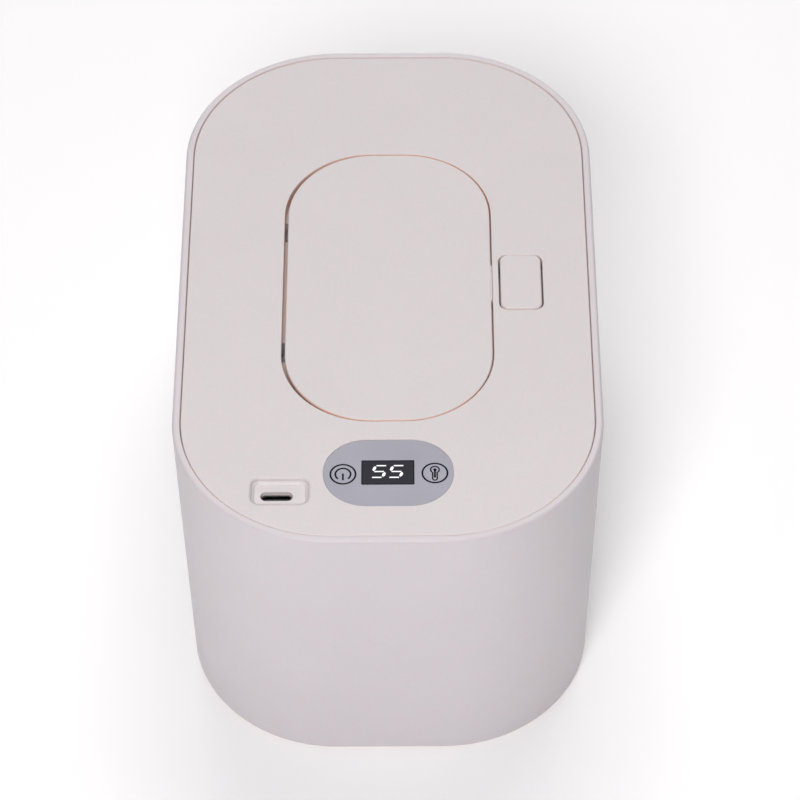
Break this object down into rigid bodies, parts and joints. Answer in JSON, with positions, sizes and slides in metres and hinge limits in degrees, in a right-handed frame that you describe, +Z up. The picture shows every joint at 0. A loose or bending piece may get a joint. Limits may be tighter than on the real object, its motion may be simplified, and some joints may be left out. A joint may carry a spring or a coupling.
{
  "type": "baby wipe warmer",
  "caption": "Rounded, tapered tub with a lift-off heated lid, a latched flip door over the wipe outlet, a display and a charging socket.",
  "frame": {"origin": "centre of the body's outline, on the plane that its feet stand on", "axes": "+X to the right seen from the display end, +Y from the display end to the far end along the body, +Z up"},
  "size_m": [0.12, 0.1934, 0.0976],
  "materials": {
    "shell_plastic": "fine moulded texture, pale pinkish white",
    "inner_plastic": "satin moulded polypropylene",
    "latch_plastic": "satin acetal",
    "foam": "closed-cell polyethylene foam",
    "silicone": "translucent silicone",
    "black_rubber": "matt",
    "spring_steel": "drawn wire",
    "screw_steel": "zinc plated",
    "plate_aluminium": "rolled",
    "film": "polyimide film with etched tracks",
    "black_resin": "moulded",
    "ceramic_white": "glass-fibre sleeve over ceramic",
    "wire_insulation": "silicone insulation",
    "label_film": "satin printed film, blue-grey",
    "window": "smoked acrylic",
    "board": "green solder mask",
    "usb_steel": "nickel plated"
  },
  "bodies": {
    "base": {"housing": "shell_plastic", "feet": "black_rubber", "wipe_bin": "inner_plastic", "bin_screws": "screw_steel", "insulation_pads": "foam", "lift_springs": "spring_steel"},
    "plate": {"lift_plate": "inner_plastic"},
    "lid": {"top_panel": "shell_plastic", "inner_cover": "inner_plastic", "lid_gasket": "silicone", "lid_screws": "screw_steel", "heater_plate": "plate_aluminium", "plate_screws": "screw_steel", "heater_film": "film", "thermistor": "black_resin", "thermal_fuse": "ceramic_white", "heater_leads": "wire_insulation", "outlet_seal": "silicone", "hinge_pin": "screw_steel", "hinge_springs": "spring_steel", "latch_bracket": "latch_plastic", "latch_spring": "spring_steel", "bracket_screws": "screw_steel", "control_label": "label_film", "display_window": "window", "display_module": "black_resin", "control_board": "board", "board_screws": "screw_steel", "key_switches": "black_resin", "usb_shell": "usb_steel", "usb_tongue": "black_resin"},
    "door": {"flip_door": "shell_plastic", "door_seal": "silicone"},
    "button": {"latch_button": "shell_plastic"},
    "slider": {"latch_slider": "latch_plastic"},
    "power_button": {"power_key": "inner_plastic"},
    "temperature_button": {"temperature_key": "inner_plastic"}
  },
  "joints": [
    {"name": "lid_lift", "type": "slide", "parent": "base", "child": "lid", "axis": [0, 0, 1], "range_m": [0, 0.12]},
    {"name": "door_hinge", "type": "hinge", "parent": "lid", "child": "door", "pos_m": [-0.03308, 0, 0.0941], "axis": [0, -1, 0], "range_deg": [0, 95]},
    {"name": "button_press", "type": "slide", "parent": "lid", "child": "button", "axis": [0, 0, -1], "range_m": [0, 0.0012], "stiffness_N_per_m": 1900, "springref_m": -0.0011, "deforming": ["latch_spring"]},
    {"name": "latch_slide", "type": "slide", "parent": "lid", "child": "slider", "axis": [1, 0, 0], "range_m": [0, 0.001]},
    {"name": "plate_lift", "type": "slide", "parent": "base", "child": "plate", "axis": [0, 0, 1], "range_m": [-0.05, 0], "stiffness_N_per_m": 60, "springref_m": 0.06, "deforming": ["lift_springs"]},
    {"name": "power_key_press", "type": "slide", "parent": "lid", "child": "power_button", "axis": [0, 0, -1], "range_m": [0, 0.0003], "stiffness_N_per_m": 1500, "springref_m": -0.0004},
    {"name": "temperature_key_press", "type": "slide", "parent": "lid", "child": "temperature_button", "axis": [0, 0, -1], "range_m": [0, 0.0003], "stiffness_N_per_m": 1500, "springref_m": -0.0004}
  ],
  "couplings": [
    {"joint": "latch_slide", "follows": "button_press", "ratio": 0.83333}
  ]
}
